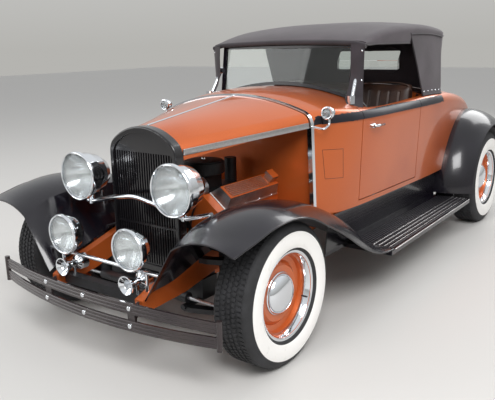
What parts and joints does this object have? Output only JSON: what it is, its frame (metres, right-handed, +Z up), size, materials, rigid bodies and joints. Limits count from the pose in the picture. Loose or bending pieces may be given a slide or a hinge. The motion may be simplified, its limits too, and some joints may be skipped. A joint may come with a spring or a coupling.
{
  "type": "hot rod roadster",
  "caption": "Open two-seat roadster hot rod with canvas top, separate fenders, running boards, an open-sided engine bay and whitewall tyres.",
  "frame": {"origin": "centre of the bounding box, at ground level under the tyres", "axes": "+Z up, the car faces -Y, its left side is +X"},
  "size_m": [1.696, 4.1842, 1.5542],
  "materials": {
    "body_paint": "metallic copper orange, gloss",
    "fender_paint": "near-black, gloss",
    "bumper_paint": "dark brown, gloss",
    "engine_paint": "copper orange, gloss",
    "dark_metal": "satin black",
    "cast": "cast",
    "steel": "bare steel",
    "alloy": "polished",
    "chrome": "bright",
    "tyre": "rubber with a white wall",
    "canvas": "dark canvas",
    "hide": "dark brown leather",
    "trim_plastic": "gloss",
    "glass": "clear",
    "lens": "clear, fluted",
    "red_lens": "clear red"
  },
  "bodies": {
    "chassis": {"body_tub": "body_paint", "cowl": "body_paint", "cowl_band": "chrome", "cowl_lamps": "chrome", "dashboard": "dark_metal", "engine_block": "engine_paint", "engine_drive": "chrome", "exhaust": "steel", "fog_lamps": "chrome", "frame_cross_members": "dark_metal", "frame_rails": "body_paint", "front_bumper": "bumper_paint", "front_fenders": "fender_paint", "front_suspension": "dark_metal", "fuel_tank": "dark_metal", "headlamp_bar": "fender_paint", "headlamps": "chrome", "hood_stays": "chrome", "horns": "chrome", "intake": "alloy", "lamp_lenses": "lens", "radiator_core": "dark_metal", "radiator_grille": "fender_paint", "radiator_shell": "fender_paint", "rear_axle": "dark_metal", "rear_bumper": "bumper_paint", "rear_fenders": "fender_paint", "rear_springs": "dark_metal", "rear_window": "glass", "running_boards": "fender_paint", "seat_front": "hide", "seat_rumble": "hide", "soft_top": "canvas", "tail_lamps": "red_lens", "valve_covers": "engine_paint", "windshield_frame": "fender_paint", "windshield_glass": "glass", "windshield_posts": "chrome"},
    "wheel_front_left_hub": {"tyre_front_left": "tyre", "wheel_front_left": "body_paint"},
    "wheel_front_right_hub": {"tyre_front_right": "tyre", "wheel_front_right": "body_paint"},
    "wheel_rear_left_hub": {"tyre_rear_left": "tyre", "wheel_rear_left": "body_paint"},
    "wheel_rear_right_hub": {"tyre_rear_right": "tyre", "wheel_rear_right": "body_paint"},
    "knuckle_left_body": {"knuckle_left": "cast"},
    "knuckle_right_body": {"knuckle_right": "cast"},
    "tie_rod_body": {"tie_rods": "steel"},
    "fan_body": {"fan": "alloy"},
    "steering_wheel_body": {"steering_wheel": "trim_plastic"},
    "door_left_body": {"door_left": "body_paint"},
    "door_right_body": {"door_right": "body_paint"},
    "hood_left_body": {"hood_left": "body_paint"},
    "hood_right_body": {"hood_right": "body_paint"},
    "rumble_lid_body": {"rumble_lid": "body_paint"}
  },
  "joints": [
    {"name": "steer_left", "type": "hinge", "parent": "chassis", "child": "knuckle_left_body", "pos_m": [0.585, -1.572, 0.333], "axis": [0, 0, 1], "range_deg": [-30, 30]},
    {"name": "steer_right", "type": "hinge", "parent": "chassis", "child": "knuckle_right_body", "pos_m": [-0.585, -1.572, 0.333], "axis": [0, 0, 1], "range_deg": [-30, 30]},
    {"name": "tie_rod_slide", "type": "slide", "parent": "chassis", "child": "tie_rod_body", "axis": [1, 0, 0], "range_m": [-0.072, 0.072]},
    {"name": "steering_wheel_turn", "type": "hinge", "parent": "chassis", "child": "steering_wheel_body", "pos_m": [0.33, -0.282, 0.965], "axis": [0, 0.8751, 0.484], "range_deg": [-425, 425]},
    {"name": "wheel_front_left_spin", "type": "hinge", "parent": "knuckle_left_body", "child": "wheel_front_left_hub", "pos_m": [0.692, -1.572, 0.333], "axis": [1, 0, 0], "continuous": true},
    {"name": "wheel_front_right_spin", "type": "hinge", "parent": "knuckle_right_body", "child": "wheel_front_right_hub", "pos_m": [-0.692, -1.572, 0.333], "axis": [1, 0, 0], "continuous": true},
    {"name": "wheel_rear_left_spin", "type": "hinge", "parent": "chassis", "child": "wheel_rear_left_hub", "pos_m": [0.682, 1.292, 0.357], "axis": [1, 0, 0], "continuous": true},
    {"name": "wheel_rear_right_spin", "type": "hinge", "parent": "chassis", "child": "wheel_rear_right_hub", "pos_m": [-0.682, 1.292, 0.357], "axis": [1, 0, 0], "continuous": true},
    {"name": "fan_spin", "type": "hinge", "parent": "chassis", "child": "fan_body", "pos_m": [0, -1.536, 0.56], "axis": [0, 1, 0], "continuous": true},
    {"name": "door_left_hinge", "type": "hinge", "parent": "chassis", "child": "door_left_body", "pos_m": [0.652, 0.223, 0.9], "axis": [0, 0, 1], "range_deg": [0, 65]},
    {"name": "door_right_hinge", "type": "hinge", "parent": "chassis", "child": "door_right_body", "pos_m": [-0.652, 0.223, 0.9], "axis": [0, 0, -1], "range_deg": [0, 65]},
    {"name": "hood_left_hinge", "type": "hinge", "parent": "chassis", "child": "hood_left_body", "pos_m": [0, -1.6235, 1.051], "axis": [0, -0.9912, -0.1326], "range_deg": [0, 70]},
    {"name": "hood_right_hinge", "type": "hinge", "parent": "chassis", "child": "hood_right_body", "pos_m": [0, -1.6235, 1.051], "axis": [0, 0.9912, 0.1326], "range_deg": [0, 70]},
    {"name": "rumble_lid_hinge", "type": "hinge", "parent": "chassis", "child": "rumble_lid_body", "pos_m": [0, 1.435, 1.003], "axis": [-1, 0, 0], "range_deg": [0, 55]}
  ],
  "couplings": [
    {"joint": "steer_right", "follows": "steer_left", "ratio": 1},
    {"joint": "tie_rod_slide", "follows": "steer_left", "m_per_rad": 0.134},
    {"joint": "steering_wheel_turn", "follows": "steer_left", "ratio": 14}
  ]
}
